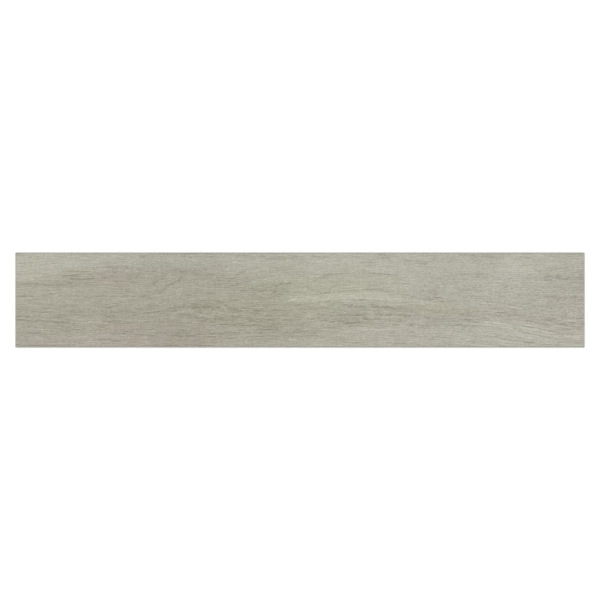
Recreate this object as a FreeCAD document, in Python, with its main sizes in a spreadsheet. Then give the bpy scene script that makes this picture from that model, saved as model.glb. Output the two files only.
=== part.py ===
import FreeCAD, Part
import math
import os
import Sketcher

# A wood look porcelain plank tile: one plank of porcelain body, dry-pressed in a steel die, glazed and fired.
# It is one piece. It lies on its back with the glazed face up, long side along X, and the origin is at the
# middle of its underside. Lengths are in millimetres and angles in degrees.

doc = FreeCAD.newDocument("PlankTile")

# The sizes that the die gives the plank. Each can be changed by itself.
SIZES = {
    # The plank over all.
    "plank_length": 900,
    "plank_width": 150,
    "plank_thickness": 9,
    # Edges: plan corners, the rounded edge round the face and the bevelled foot round the back.
    "corner_radius": 1,
    "cushion_radius": 0.8,
    "foot_inset": 0.8,
    "foot_rise": 2,
    # Back relief: a honeycomb of sunk six-sided cells, inside a plain border of at least this breadth.
    "border_least": 10,
    "cell_flats": 24,
    "cell_depth": 0.8,
    "cell_draft": 30,
    "rib_breadth": 4,
}

sheet = doc.addObject("Spreadsheet::Sheet", "Sizes")
for row, (alias, value) in enumerate(SIZES.items(), start=1):
    sheet.set(f"A{row}", str(value))
    sheet.setAlias(f"A{row}", alias)
doc.recompute()

# The plank without its back relief.
plank = doc.addObject("PartDesign::Body", "PlainPlank")
origin = {feature.Role: feature for feature in plank.Origin.OriginFeatures}


def plan_outline(name):
    """The plank's outline seen from above: four sides and a quarter circle at each corner."""
    sketch = plank.newObject("Sketcher::SketchObject", name)
    sketch.AttachmentSupport = (origin["XY_Plane"], [""])
    sketch.MapMode = "FlatFace"
    half_length = sheet.get("plank_length") / 2
    half_width = sheet.get("plank_width") / 2
    bend = sheet.get("corner_radius")

    # The near side comes first, then the others anticlockwise, each followed by the corner at its end.
    corners = [(half_length, -half_width), (half_length, half_width),
               (-half_length, half_width), (-half_length, -half_width)]
    headings = [(1, 0), (0, 1), (-1, 0), (0, -1)]
    for side in range(4):
        along = FreeCAD.Vector(*headings[side], 0) * bend
        inwards = FreeCAD.Vector(*headings[(side + 1) % 4], 0) * bend
        start = FreeCAD.Vector(*corners[side - 1], 0)
        end = FreeCAD.Vector(*corners[side], 0)
        sketch.addGeometry(Part.LineSegment(start + along, end - along))
        circle = Part.Circle(end - along + inwards, FreeCAD.Vector(0, 0, 1), bend)
        sketch.addGeometry(Part.ArcOfCircle(circle, (side - 1) * math.pi / 2, side * math.pi / 2))

    # Both kinds of piece start at their point 1 and end at their point 2.
    starts, ends, crossing_of_axes = 1, 2, (-1, 1)
    for side in range(4):
        line, arc, next_line = 2 * side, 2 * side + 1, (2 * side + 2) % 8
        sketch.addConstraint(Sketcher.Constraint("Tangent", line, ends, arc, starts))
        sketch.addConstraint(Sketcher.Constraint("Tangent", arc, ends, next_line, starts))
        sketch.addConstraint(Sketcher.Constraint("Vertical" if side % 2 else "Horizontal", line))
    for arc in (3, 5, 7):
        sketch.addConstraint(Sketcher.Constraint("Equal", 1, arc))

    near, near_corner, right, far, left = 0, 1, 2, 4, 6
    dimensions = {
        "corner": ("Sizes.corner_radius", "Radius", near_corner, bend),
        "length": ("Sizes.plank_length", "DistanceX", left, starts, right, starts, 2 * half_length),
        "width": ("Sizes.plank_width", "DistanceY", near, starts, far, starts, 2 * half_width),
        "half_length": ("Sizes.plank_length / 2", "DistanceX", left, starts, *crossing_of_axes, half_length),
        "half_width": ("Sizes.plank_width / 2", "DistanceY", near, starts, *crossing_of_axes, half_width),
    }
    for label, (expression, *constraint) in dimensions.items():
        index = sketch.addConstraint(Sketcher.Constraint(*constraint))
        sketch.renameConstraint(index, label)
        sketch.setExpression(f"Constraints.{label}", expression)
    return sketch


def edges_at(feature, height):
    """The names of a feature's edges that lie flat at one height."""
    names = []
    for number, edge in enumerate(feature.Shape.Edges, start=1):
        box = edge.BoundBox
        if max(abs(box.ZMin - height), abs(box.ZMax - height)) < 1e-4:
            names.append(f"Edge{number}")
    return names


# The blank: the plan outline pressed to the full thickness, with upright sides.
blank = plank.newObject("PartDesign::Pad", "Blank")
blank.Profile = plan_outline("PlankOutline")
blank.setExpression("Length", "Sizes.plank_thickness")
doc.recompute()

# The cushion edge: the soft round between the face and the sides, which the glaze runs over.
cushion = plank.newObject("PartDesign::Fillet", "CushionEdge")
cushion.Base = (blank, edges_at(blank, blank.Length.Value))
cushion.setExpression("Radius", "Sizes.cushion_radius")
doc.recompute()

# The foot: the sides lean in towards the back, so that the lower die lets the plank go.
foot = plank.newObject("PartDesign::Chamfer", "FootBevel")
foot.Base = (cushion, edges_at(cushion, 0))
foot.ChamferType = "Two distances"
foot.setExpression("Size", "Sizes.foot_rise")
foot.setExpression("Size2", "Sizes.foot_inset")
plank.Tip = foot
doc.recompute()
underside = min(foot.Shape.Faces, key=lambda face: face.BoundBox.ZMax)
inset = (foot.Shape.BoundBox.XLength - underside.BoundBox.XLength) / 2
if abs(inset - sheet.get("foot_inset")) > 1e-4:
    raise SystemExit(f"The foot is set in by {inset:.3f} mm.")


def hexagon(flats, height):
    """A regular hexagon at one height, with its flats that far apart and two of them across the plank."""
    reach = flats / math.sqrt(3)
    turns = [math.radians(30 + 60 * corner) for corner in range(6)]
    return [FreeCAD.Vector(reach * math.cos(turn), reach * math.sin(turn), height) for turn in turns]


def die_point(flats, depth, draft):
    """What presses one cell: a six-sided stub on the underside's plane, with flat walls that lean in."""
    mouth = hexagon(flats, 0)
    floor = hexagon(flats - 2 * depth * math.tan(math.radians(draft)), depth)
    outlines = [mouth, floor]
    for side in range(6):
        after = (side + 1) % 6
        outlines.append([mouth[side], mouth[after], floor[after], floor[side]])
    faces = [Part.Face(Part.makePolygon(outline + outline[:1])) for outline in outlines]
    return Part.makeSolid(Part.makeShell(faces))


def back_die(point, columns, rows, pitch):
    """The honeycomb of die points. They stand in rows along the plank, a pitch apart. Each second row has
    one point fewer and lies half a pitch on, so that the ribs left between cells are all one breadth."""
    row_step = pitch * math.sqrt(3) / 2
    points = []
    for row in range(rows):
        in_row = columns - row % 2
        across = (row - (rows - 1) / 2) * row_step
        for column in range(in_row):
            along = (column - (in_row - 1) / 2) * pitch
            stub = point.copy()
            stub.translate(FreeCAD.Vector(along, across, 0))
            points.append(stub)
    return Part.makeCompound(points)


# As many whole cells as fit inside the border are pressed, and the comb is centred on the back, so that
# what is left over widens the border. What stands between the cells is the net of ribs that carries the
# plank and that the adhesive keys to.
cell_pitch = sheet.get("cell_flats") + sheet.get("rib_breadth")
cell_over_points = sheet.get("cell_flats") * 2 / math.sqrt(3)
comb_length = sheet.get("plank_length") - 2 * sheet.get("border_least")
comb_width = sheet.get("plank_width") - 2 * sheet.get("border_least")
columns = math.floor((comb_length + sheet.get("rib_breadth")) / cell_pitch)
rows = math.floor((comb_width - cell_over_points) / (cell_pitch * math.sqrt(3) / 2)) + 1

point = die_point(sheet.get("cell_flats"), sheet.get("cell_depth"), sheet.get("cell_draft"))
die = doc.addObject("Part::Feature", "BackDie")
die.Shape = back_die(point, columns, rows, cell_pitch)

tile = doc.addObject("Part::Cut", "Tile")
tile.Label = "plank_tile"
tile.Base = plank
tile.Tool = die
doc.recompute()

# Every cell has to be cut, and whole.
cells = len(die.Shape.Solids)
cut = plank.Shape.Volume - tile.Shape.Volume
if point.Volume <= 0 or abs(cut - cells * point.Volume) > 1e-6 * cut:
    raise SystemExit(f"{cut:.2f} mm3 cut in {cells} cells of {point.Volume:.3f} mm3")

for feature in doc.Objects:
    if "Invalid" in feature.State or "Error" in feature.State:
        raise SystemExit(f"{feature.Name} failed: {feature.State}")
if tile.Shape.isNull() or not tile.Shape.isValid() or len(tile.Shape.Solids) != 1:
    raise SystemExit(f"{tile.Label} isn't one valid solid.")

os.makedirs("parts", exist_ok=True)
tile.Shape.exportStep(f"parts/{tile.Label}.step")
box = tile.Shape.BoundBox
print(f"{tile.Label}: {box.XLength:.2f} x {box.YLength:.2f} x {box.ZLength:.2f} mm, "
      f"{tile.Shape.Volume / 1000:.1f} cm3, {cells} cells")
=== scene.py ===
import math
import bpy
import numpy as np
from mathutils.geometry import delaunay_2d_cdt
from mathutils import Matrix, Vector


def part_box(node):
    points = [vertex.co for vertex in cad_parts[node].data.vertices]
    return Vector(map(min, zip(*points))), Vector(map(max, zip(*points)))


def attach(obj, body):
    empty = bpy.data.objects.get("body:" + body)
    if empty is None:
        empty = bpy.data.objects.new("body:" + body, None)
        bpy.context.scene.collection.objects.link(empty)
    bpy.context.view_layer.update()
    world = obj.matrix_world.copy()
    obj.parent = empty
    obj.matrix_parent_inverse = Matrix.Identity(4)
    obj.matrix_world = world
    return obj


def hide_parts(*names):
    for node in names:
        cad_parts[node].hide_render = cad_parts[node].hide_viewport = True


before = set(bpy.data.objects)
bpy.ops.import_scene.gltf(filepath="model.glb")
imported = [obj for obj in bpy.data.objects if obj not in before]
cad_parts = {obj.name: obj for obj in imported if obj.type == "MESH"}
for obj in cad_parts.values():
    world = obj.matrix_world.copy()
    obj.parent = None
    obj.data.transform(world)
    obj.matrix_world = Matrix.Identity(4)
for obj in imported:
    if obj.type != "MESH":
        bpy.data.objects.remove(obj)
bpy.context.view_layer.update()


# THE PRINTED FIGURE
# A wood look tile carries an ink-jet print of sawn oak under its glaze: long fibres that bend over two broad
# arches and fall away to the right, with dark streaks, a pale ribbon, a feathered patch and two small knots.
# The print runs over the edges of the tile by a small bleed.
low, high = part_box("plank_tile")
length = high[0] - low[0]
width = high[1] - low[1]
thickness = high[2] - low[2]
bleed = 0.0008


def ease(t):
    """0 below t = 0, 1 above t = 1, and 3t^2 - 2t^3 between."""
    t = np.clip(t, 0, 1)
    return t * t * (3 - 2 * t)


def bend(x, y):
    """How far the grain is pushed towards the far edge. Each of four hills is its height times e to minus the
    squared distances in x and y over its half sizes. A slow and a steep fall, which ease in to the right and
    towards the near edge, are taken off."""
    left_mound = 0.0130 * np.exp(-((x + 0.150) / 0.052) ** 2 - ((y + 0.002) / 0.022) ** 2)
    feather = 0.0090 * np.exp(-((x + 0.178) / 0.026) ** 2 - ((y - 0.036) / 0.020) ** 2)
    shoulder = 0.0070 * np.exp(-((x + 0.036) / 0.050) ** 2 - ((y - 0.038) / 0.020) ** 2)
    broad_arch = 0.0120 * np.exp(-((x - 0.090) / 0.125) ** 2 - ((y - 0.014) / 0.048) ** 2)
    slow_fall = 0.0070 * ease((x - 0.160) / 0.200) * ease((0.030 - y) / 0.050)
    steep_fall = 0.0130 * ease((x - 0.285) / 0.125) * ease((0.000 - y) / 0.050)
    return left_mound + feather + shoulder + broad_arch - slow_fall - steep_fall


def across(x, y):
    """The place of a point across the unbent board: y less the bend of the grain there."""
    return y - bend(x, y)


def strokes(x, v, thick, step, *lines):
    """Tone of some drawn streaks. A line runs straight, in grain coordinates, through its points. With d the
    distance across the grain over thick, its tone is the step times (1 - 0.5 d^2) e^(-d^2), which has a paler
    line on each side, times a taper of 1 - (2t - 1)^4 that ends it, where t runs from 0 to 1 along the line.
    Points are millimetres right of and down from the far left corner of the print. A level streak is given as
    its left end, its right end and how far down it lies."""
    tone = np.zeros_like(x)
    for line in lines:
        if isinstance(line, tuple):
            left_end, right_end, level = line
            line = [(left_end, level), (right_end, level)]
        right, down = np.array(line).T / 1000
        line_x = right - length / 2 - bleed
        line_v = across(line_x, width / 2 + bleed - down)
        t = (x - line_x[0]) / (line_x[-1] - line_x[0])
        taper = np.clip(1 - (2 * t - 1) ** 4, 0, 1)
        d = (v - np.interp(x, line_x, line_v)) / (thick / 1000)
        tone += step * taper * (1 - 0.5 * d ** 2) * np.exp(-d ** 2)
    return tone


def clouds(x, v, *patches):
    """Tone of soft patches: the step times e to minus the squared distances along and across the grain, each
    over the patch's half size. A patch is right, down, half length, half breadth (millimetres) and step."""
    tone = np.zeros_like(x)
    for right, down, half_long, half_broad, step in patches:
        middle = right / 1000 - length / 2 - bleed
        level = across(middle, width / 2 + bleed - down / 1000)
        far = ((x - middle) * 1000 / half_long) ** 2 + ((v - level) * 1000 / half_broad) ** 2
        tone += step * np.exp(-far)
    return tone


def left_figure(x, v):
    """The left quarter: a pale corner, a long thin eye, and streaks that run nearly straight."""
    tone = clouds(
        x, v, (60, 16, 90, 16, 9), (12, 51, 20, 4, -8), (70, 50, 13, 4, -9), (110, 49, 30, 3, -4),
        (92, 94, 3, 3, -9), (99, 98, 3, 2, -8), (118, 91, 3, 3, -6), (127, 92, 3, 3, -6),
        (147, 100, 10, 5, -8), (171, 97, 12, 4, -5), (97, 104, 3, 3, 6), (116, 109, 20, 4, 6),
        (51, 13, 2, 4, -6), (183, 36, 4, 2, -7), (70, 129, 3, 3, -6), (86, 125, 5, 3, -6),
        (147, 22, 8, 5, -4), (208, 20, 12, 5, -5), (100, 24, 22, 4, 4), (90, 66, 60, 8, 3),
        (28, 110, 6, 2, -9), (75, 98, 18, 3, -5), (192, 98, 7, 2, -10), (126, 71, 5, 2, -9),
        (95, 39, 22, 4, -4), (15, 61, 22, 2.5, 8), (196, 82, 11, 2, 11), (17, 128, 8, 2, 8),
        (62, 28, 9, 1.5, 9), (28, 9, 6, 3, -10), (8, 11, 8, 3, 8), (16, 26, 14, 3, 7), (24, 39, 18, 3, 7),
        (1, 86, 3, 5, -9), (1, 65, 3, 3, -7), (2, 48, 5, 2.5, -8), (60, 53.5, 42, 1.8, -7),
        (80, 70, 18, 2, -8), (136, 86, 6, 2, -10), (118, 103, 4, 2, -10), (52, 118.5, 6, 1.8, -11),
        (36, 121, 5, 1.8, -13), (59, 121, 4, 1.5, -11), (58, 124, 5, 1.5, -9), (84, 119.5, 12, 1.5, -8),
        (145, 79, 6, 3, 7), (208, 74, 16, 3, 6), (182, 40, 22, 2, -7), (201, 45, 6, 2.5, 9),
        (152, 9, 16, 3, 6), (184, 53, 6, 2, 8), (147, 118.5, 9, 2, 12), (16, 98.5, 5, 2, -11),
        (1, 6, 4, 4, -9), (198, 33, 9, 4, -7), (90, 18, 8, 3, -7), (224, 41.5, 6, 2.5, -11),
        (118, 116.5, 8, 2.5, 7), (104, 57.5, 8, 1.5, 9), (160, 24, 10, 4, -6), (86, 28, 7, 3, -8),
        (148, 30, 7, 2, -8), (103, 49.5, 12, 2, -5), (110, 74.5, 22, 2, -6), (149, 71, 8, 2.5, -7),
        (185, 16, 16, 4, 5), (120, 110.5, 20, 1.5, 3), (160, 47, 4, 1.8, 9))
    tone += strokes(
        x, v, 1.1, -31, [(84, 42), (93, 42), (104, 43.5), (116, 42.5), (127, 41)],
        [(0, 107), (14, 107.5), (27, 108.8)], (175, 180, 62), (0, 5, 146))
    tone += strokes(
        x, v, 1.1, -25, [(72, 38), (95, 36.5), (106, 34)], [(45, 52.5), (58, 53)], [(136, 40), (146, 42)],
        [(128, 138), (154, 138.5)], (190, 204, 130.5), (27, 36, 94.5), (90, 97, 116), (180, 185, 43),
        (216, 221, 50), [(152, 31.8), (163, 32.8)], [(6, 147.7), (48, 147.6)], (0, 9, 2.3), (213, 228, 84),
        (200, 232, 147.7), [(201, 54), (212, 54.3)], (0, 10, 146))
    tone += strokes(
        x, v, 1.1, -19, [(84, 30.5), (104, 30), (122, 31)], [(126, 32), (134, 36), (142, 37)],
        [(27, 50), (50, 51)], (52, 68, 66), [(2, 69), (10, 70), (22, 70.5)], (127, 139, 70),
        [(139, 83), (142, 86.5), (145, 88), (154, 89)], [(0, 101), (12, 101.5)],
        [(27, 109), (52, 108.5), (62, 110.5), (84, 111.5)], [(138, 110), (156, 110.5)], (167, 181, 70.3),
        [(191, 89.3), (204, 88.8)], [(184, 100.3), (200, 98.3)], (152, 167, 109), (167, 179, 22.5),
        (150, 154, 73.5), (151, 169, 141), [(196, 7.5), (204, 8)], [(86, 52.5), (102, 51.5)], (202, 226, 31),
        (76, 88, 111.5), (120, 135, 94), (210, 226, 141.5), [(88, 37.8), (108, 38)],
        [(162, 92.5), (173, 92.3)], (142, 158, 103.3), (92, 103, 67), [(115, 99), (124, 98.6)],
        (45, 95, 147.8), (186, 194, 19.5), [(130, 34), (136, 33.5)], [(15, 112), (26, 111.6), (37, 111)],
        (66, 79, 86), (16, 28, 102), [(196, 70), (215, 69.5)])
    tone += strokes(
        x, v, 1.1, -13, [(102, 34), (121, 34.5)], (68, 77, 99.5), [(86, 64), (111, 63.5)], (24, 31, 5),
        (9, 13, 30.5), (132, 152, 17), [(144, 19), (157, 20)], (140, 157, 24), (84, 91, 49.5), (0, 29, 91),
        (0, 13, 94), (40, 57, 95.5), (88, 101, 113), (40, 56, 111.5), [(56, 124.5), (63, 125)],
        [(66, 119), (78, 124), (88, 126)], [(66, 128), (70, 130)], (90, 101, 122.5), (80, 91, 133.5),
        (166, 191, 26), [(190, 28.5), (202, 29)], [(153, 46.7), (182, 46.2)], [(178, 83), (187, 82.5)],
        [(174, 92), (180, 95)], [(180, 70), (206, 69.5)], (152, 161, 70), (152, 179, 129), (166, 179, 125.4),
        [(152, 113.5), (191, 113)], [(204, 112), (215, 111)], [(216, 47), (229, 48)],
        [(151, 139), (167, 140)], [(208, 131), (222, 132)], [(212, 20), (218, 22)], [(216, 30.5), (228, 31)],
        (5, 50, 118), (158, 172, 70.5), [(174, 69), (184, 68.8)], [(101, 103), (114, 101.5)],
        [(112, 134), (124, 133.5)], [(174, 39.5), (184, 39.8)], [(184, 38.5), (194, 38)], (192, 216, 7),
        (38, 52, 21), (200, 226, 138.5), (186, 195, 23), (60, 100, 100.5), (80, 104, 84.5),
        [(12, 14.8), (32, 14.5)], [(0, 17), (22, 16.8)], [(148, 22), (158, 22.5)],
        [(178, 29.5), (192, 29.8)], (0, 5, 135.2), (134, 148, 146), (30, 50, 108.3), (219, 229, 127),
        (8, 20, 32), (75, 84, 131.5), [(200, 106.3), (209, 106)], [(120, 40.2), (127, 40)], (5, 60, 20),
        [(100, 20.2), (150, 20)], [(29, 91.2), (38, 91)], [(160, 17), (178, 17.2)],
        [(214, 46.6), (224, 46.5)], (100, 112, 32.5), [(45, 96), (76, 95.8)], [(82, 94.3), (92, 94)],
        (118, 126, 132), [(28, 100.4), (40, 100.2)], [(104, 26), (118, 26.5)], [(100, 103.5), (109, 103.3)])
    tone += strokes(
        x, v, 1.2, -9, (14, 21, 18), [(14, 76), (29, 75)], (78, 116, 84), [(20, 118), (28, 119)],
        [(28, 128), (41, 127.5)], [(12, 124), (26, 128)], (128, 141, 116), [(14, 134.5), (28, 134)],
        [(40, 129.3), (51, 128.3)], (142, 154, 125.6), [(0, 128), (20, 129)], [(178, 59), (187, 59.5)],
        [(182, 46), (191, 50)], [(150, 93), (160, 96), (178, 97.5)], [(150, 62), (160, 63)],
        [(203, 72), (226, 72.5)], (204, 217, 85), (222, 227, 61), (152, 166, 126), (154, 161, 45.2),
        (150, 157, 37), (60, 110, 142), (40, 70, 89.2), [(104, 71), (124, 72)], [(192, 121), (204, 120.5)],
        [(110, 130), (124, 131)], (2, 30, 88), (13, 26, 94), (60, 92, 41), (154, 161, 23), (22, 30, 72),
        [(10, 17), (42, 16.5)])
    tone += strokes(
        x, v, 1.1, 14, [(52, 64), (68, 62.5)], (90, 104, 66.5), (112, 121, 57.5), [(28, 77.5), (41, 78)],
        (28, 66, 122), [(40, 107), (53, 106.5)], (222, 236, 49.7), (0, 13, 44.5), [(0, 72), (14, 73)],
        (14, 28, 73), [(140, 8), (160, 8.5)], [(105, 78), (122, 78.5)], (136, 150, 122.5), (155, 172, 120.5),
        [(172, 116.5), (196, 116)], (102, 120, 83), (205, 217, 24.5), (212, 221, 62), (110, 122, 110),
        (82, 97, 62.5), [(55, 28), (74, 27.5)], (50, 66, 32.5), (20, 32, 43), (4, 14, 51.5),
        [(39, 97.5), (52, 97)], [(74, 105.5), (96, 105)], (114, 126, 123), (115, 124, 121.5), (79, 92, 142),
        (169, 182, 21), (162, 171, 27), [(103, 43.5), (113, 43)], (124, 134, 56), (164, 182, 48),
        (122, 132, 76.5), (60, 72, 12), (195, 211, 81), (74, 92, 76.5), (54, 68, 88.5), (178, 192, 12),
        (168, 181, 102), (140, 154, 92.5), (99, 108, 65.5))
    return tone


def feathered_figure(x, v):
    """The second quarter: two nested arches, a feather of slanting marks over them, and dark flecks."""
    tone = clouds(
        x, v, (266, 31, 8, 4, -8), (253, 30, 6, 5, -4), (287, 35, 6, 3, -9), (236, 36, 3, 5, -6),
        (260, 100, 12, 4, -4), (216, 102, 4, 2, -5), (241, 102, 2, 5, -5), (388, 122, 4, 3, -10),
        (346, 88, 9, 4, -6), (410, 58, 20, 6, -4), (425, 62, 8, 6, -3), (386, 72, 6, 3, -5),
        (317, 63.5, 2, 1.5, -11), (322, 88, 1.5, 2, -13), (401, 11, 6, 3, -9), (430, 9.5, 22, 3, -6),
        (447, 125, 9, 3, -8), (228, 66, 2, 2, -12), (260, 88, 9, 2.5, -12), (370, 16, 50, 8, 3),
        (287, 30, 12, 4, -6), (265, 34.5, 5, 2, -8), (327, 119.5, 6, 1.8, -11), (351, 38, 5, 2, -12),
        (370, 62, 5, 1.5, -9), (434, 116, 9, 3, -10), (446, 105, 8, 3, -14), (392, 91.5, 14, 2.5, -6),
        (240, 140, 12, 2.5, -8), (230, 14.5, 12, 3, 8), (262, 74.5, 5, 1.5, 9), (245, 72, 18, 4, 5),
        (360, 55, 9, 2.5, 9), (289, 90.5, 5, 2, 8), (350, 132, 14, 2, 10), (348, 145, 16, 3, 9),
        (390, 116.5, 14, 3, -5), (421, 11.5, 5, 2.5, -13), (408, 12, 8, 2, -7), (296, 24, 8, 4, -7),
        (329, 40, 4, 2, -12), (381, 69.5, 5, 2, -12), (418, 65, 18, 2.5, -8), (411, 119, 7, 3, -11),
        (416, 124, 8, 2, -11), (295, 87, 3, 2, -10), (285, 57.5, 16, 2.5, 8), (355, 133, 14, 3, 7),
        (390, 25, 12, 3, 6), (290, 47, 7, 2.5, 7), (441, 8.5, 6, 2.5, -11), (303, 66, 7, 2.5, -9),
        (361, 72.5, 6, 2, -10), (258, 28, 8, 3, -7), (290, 36, 14, 5, -5), (399, 10, 5, 1.8, -10),
        (338, 30, 6, 2, -9), (360, 105, 6, 1.3, 8), (235, 35.5, 5, 1.8, -8), (252, 12, 22, 2.5, 5),
        (280, 133, 16, 5, -4), (275, 146.5, 45, 2.5, -7), (360, 123, 6, 5, -8), (308, 83, 8, 3, -7),
        (372, 6, 14, 4, -6), (340, 45, 8, 3, -7), (392, 115, 12, 3, -5), (308, 32.5, 9, 2.5, -8),
        (280, 124, 12, 3, -5), (440, 40, 10, 3, 6), (355, 93.5, 8, 3, -4))
    tone += strokes(
        x, v, 1.2, -33, [(284, 104), (290, 104.6)], (290, 303, 104), (339, 348, 42), (426, 434, 127),
        [(350, 50), (356, 49.5)])
    tone += strokes(
        x, v, 1.2, -25, (257, 267, 133), [(269, 131.9), (278, 132.4)], [(279, 132), (286, 133)],
        [(303, 36), (315, 35)], [(322, 114.5), (341, 114)], [(369, 116.6), (382, 115.8)],
        [(397, 122.5), (407, 123)], [(343, 127), (356, 127.5)], [(430, 50), (438, 48)],
        [(225, 94.5), (230, 93.8)], (379, 382, 108), (394, 404, 107), [(316, 105.5), (330, 105.3)],
        [(382, 105.5), (396, 105.8)], (404, 415, 106.8), (232, 262, 147.7), (290, 318, 147.7),
        (286, 304, 109.6))
    tone += strokes(
        x, v, 1.2, -20, [(202, 97), (214, 96), (225, 94.5)], [(292, 77), (308, 76)],
        [(293, 88), (304, 87), (318, 88)], [(329, 84), (336, 84.5)], [(317, 40), (329, 40.5)],
        [(348, 39), (352, 36), (355, 33), (358, 31.5), (365, 31.5)], [(330, 56), (341, 55.5)],
        [(356, 60.2), (370, 60.7)], (407, 413, 62.5), (342, 356, 76.5), [(396, 100), (407, 101)],
        (356, 369, 116), (390, 395, 7), (432, 437, 142), (409, 417, 54), [(282, 88), (293, 87.5)],
        (354, 376, 88), [(366, 103), (380, 103.5)], [(440, 63), (460, 63.5)], (418, 432, 132),
        [(274, 68.8), (285, 68.6)], [(336, 93.5), (345, 94), (356, 94)], [(264, 98.8), (278, 98.6)],
        [(288, 97), (297, 96.8)], [(240, 90), (248, 87.7), (257, 86.5)], [(423, 97.5), (436, 97)],
        [(352, 46), (357, 43), (362, 40.5), (372, 40)], [(334, 78.5), (344, 78)], [(296, 27.8), (307, 28)],
        [(417, 52.5), (425, 51.5)], (228, 243, 3), (250, 298, 3), [(338, 130.2), (356, 130)])
    tone += strokes(
        x, v, 2.0, -15, [(237, 55.5), (245, 51.5), (253, 47.5), (258, 44.5), (267, 42.5)],
        [(227, 67.5), (231, 63.5), (236, 58.5), (240, 55.5)])
    tone += strokes(
        x, v, 1.1, -15, [(230, 93.5), (240, 91.5), (256, 90), (262, 87), (275, 84.5)], (232, 247, 22.5),
        [(247, 37.6), (255, 36.6)], [(252, 26), (257, 29)], (257, 273, 31),
        [(270, 25), (276, 27), (285, 29)], (286, 292, 21), [(282, 43.6), (291, 42.6)], (282, 291, 83),
        (230, 234, 55), (229, 237, 110), (253, 267, 128.6), (267, 279, 129), (286, 292, 7), (307, 313, 7),
        (361, 367, 5.5), (311, 319, 21.5), (317, 331, 45), [(310, 46.5), (317, 47.5)], (341, 356, 53),
        [(371, 61), (400, 61), (419, 61)], (390, 395, 67), (394, 401, 86), [(368, 85.5), (382, 86)],
        [(375, 93), (383, 92.5), (393, 92)], (343, 357, 102), (305, 319, 104), (369, 379, 109),
        (427, 438, 108), [(400, 118), (407, 117.5)], [(419, 117.5), (425, 118)], (424, 431, 114.5),
        (434, 460, 127), [(303, 134), (319, 133.5)], (329, 351, 136.5), [(380, 133), (398, 133.5)],
        (393, 399, 141), [(404, 133), (419, 133.5)], (263, 269, 7), (278, 283, 8.5),
        [(309, 76), (320, 77), (330, 80)], [(335, 85.5), (340, 87), (346, 90), (353, 94)],
        [(447, 56), (456, 57)], [(442, 84), (459, 83)], (429, 446, 132), [(414, 50.5), (430, 50)],
        (236, 252, 27.5), [(258, 41.5), (274, 40.5)], (314, 332, 56), [(385, 126), (398, 126.5)],
        (404, 425, 114.5), (388, 402, 9.5), [(424, 62), (436, 61.5)], [(300, 49), (345, 49.5)],
        (346, 360, 113), (355, 363, 101.5), [(374, 127.5), (396, 128.5)], [(226, 97.3), (240, 97)],
        [(253, 97.5), (262, 97)], [(386, 72.5), (410, 73.5)], (378, 402, 110), [(275, 103.7), (284, 103.5)],
        [(360, 101.3), (371, 101)], (290, 300, 126), (325, 334, 130.5), (265, 273, 118),
        [(284, 73.5), (293, 73)], (292, 300, 43.5), [(383, 43.3), (392, 43)], [(340, 42), (350, 41.5)],
        [(253, 78.2), (263, 78)], (370, 380, 115), (310, 320, 10), (275, 284, 8.5), (444, 456, 7),
        (412, 421, 27), [(240, 132.5), (266, 132.7)], (405, 414, 137), [(350, 56.2), (358, 56)],
        (345, 352, 26), [(418, 107.3), (446, 108)], [(400, 127.5), (413, 127.8)], (320, 337, 80),
        [(300, 42), (314, 41.8)], [(225, 111.6), (238, 111.5)], (344, 360, 103), (284, 300, 141.5),
        (363, 373, 128), [(278, 100.2), (290, 100)], (360, 378, 147.6), (282, 292, 147.5), (302, 316, 47),
        [(329, 66.5), (342, 66)])
    tone += strokes(
        x, v, 1.2, -9, [(303, 7), (336, 6.5)], (330, 369, 5.5), (404, 431, 7), (406, 421, 17.5),
        (299, 307, 82), (342, 347, 70), (303, 309, 66), (368, 379, 67), [(390, 54), (395, 53)],
        (405, 419, 90), [(400, 92.5), (431, 92)], (356, 371, 103.5), (328, 333, 106.5), (345, 351, 107),
        [(342, 116.4), (351, 115.4)], (409, 419, 122.5), [(303, 109.6), (319, 110.6)], (329, 341, 127),
        [(302, 130), (331, 129.5)], (367, 379, 139.5), [(331, 41), (339, 43)], [(304, 55), (319, 56)],
        [(254, 126), (279, 126.5)], (228, 241, 127.5), [(436, 63), (447, 64)],
        [(356, 48), (376, 45), (386, 41), (396, 38.5)], [(255, 139), (290, 140)], (440, 446, 100),
        (258, 269, 26.5), (335, 370, 46), (410, 421, 43.5), (425, 433, 34), (438, 446, 8), (334, 343, 124),
        (362, 381, 66.5), (280, 296, 145), [(424, 34), (434, 33.8)], (430, 446, 51.5), (307, 319, 38.5),
        (328, 336, 85.5), [(438, 105.2), (453, 105)], (400, 420, 110), (232, 244, 48), (232, 244, 43.5),
        [(370, 95.7), (392, 95.5)], (424, 436, 83))
    tone += strokes(
        x, v, 1.2, 14, (318, 329, 93), (391, 399, 97), (356, 369, 98.5), (342, 351, 98), (432, 446, 139.5),
        [(380, 45), (392, 42)], (326, 345, 62.5), [(242, 104), (256, 105.5)], [(232, 114.5), (245, 115)],
        (254, 262, 66), (330, 341, 28), (302, 318, 15), (352, 363, 13.5), (350, 364, 105), (320, 341, 53),
        (244, 256, 119), [(300, 116), (318, 116.5)], (382, 398, 34), (430, 438, 47),
        [(418, 79), (434, 77.5), (450, 73)], (402, 411, 43), (320, 331, 116), (342, 354, 126),
        (243, 253, 38.5), (272, 281, 35.5), (297, 305, 98), (318, 344, 97.5), [(254, 94), (264, 93.5)],
        (298, 319, 102), (368, 393, 65.5), [(280, 107), (291, 107.5)], (347, 358, 54.3),
        [(375, 130), (393, 130.5)], (364, 374, 136), [(392, 136), (404, 135.5)], (280, 310, 111),
        (272, 284, 129.8), [(253, 47.5), (260, 47)], (424, 435, 118), (310, 323, 57.5), (291, 302, 101.8),
        (285, 298, 108), (259, 275, 3.5), [(430, 76.5), (446, 72.5)])
    return tone


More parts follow.
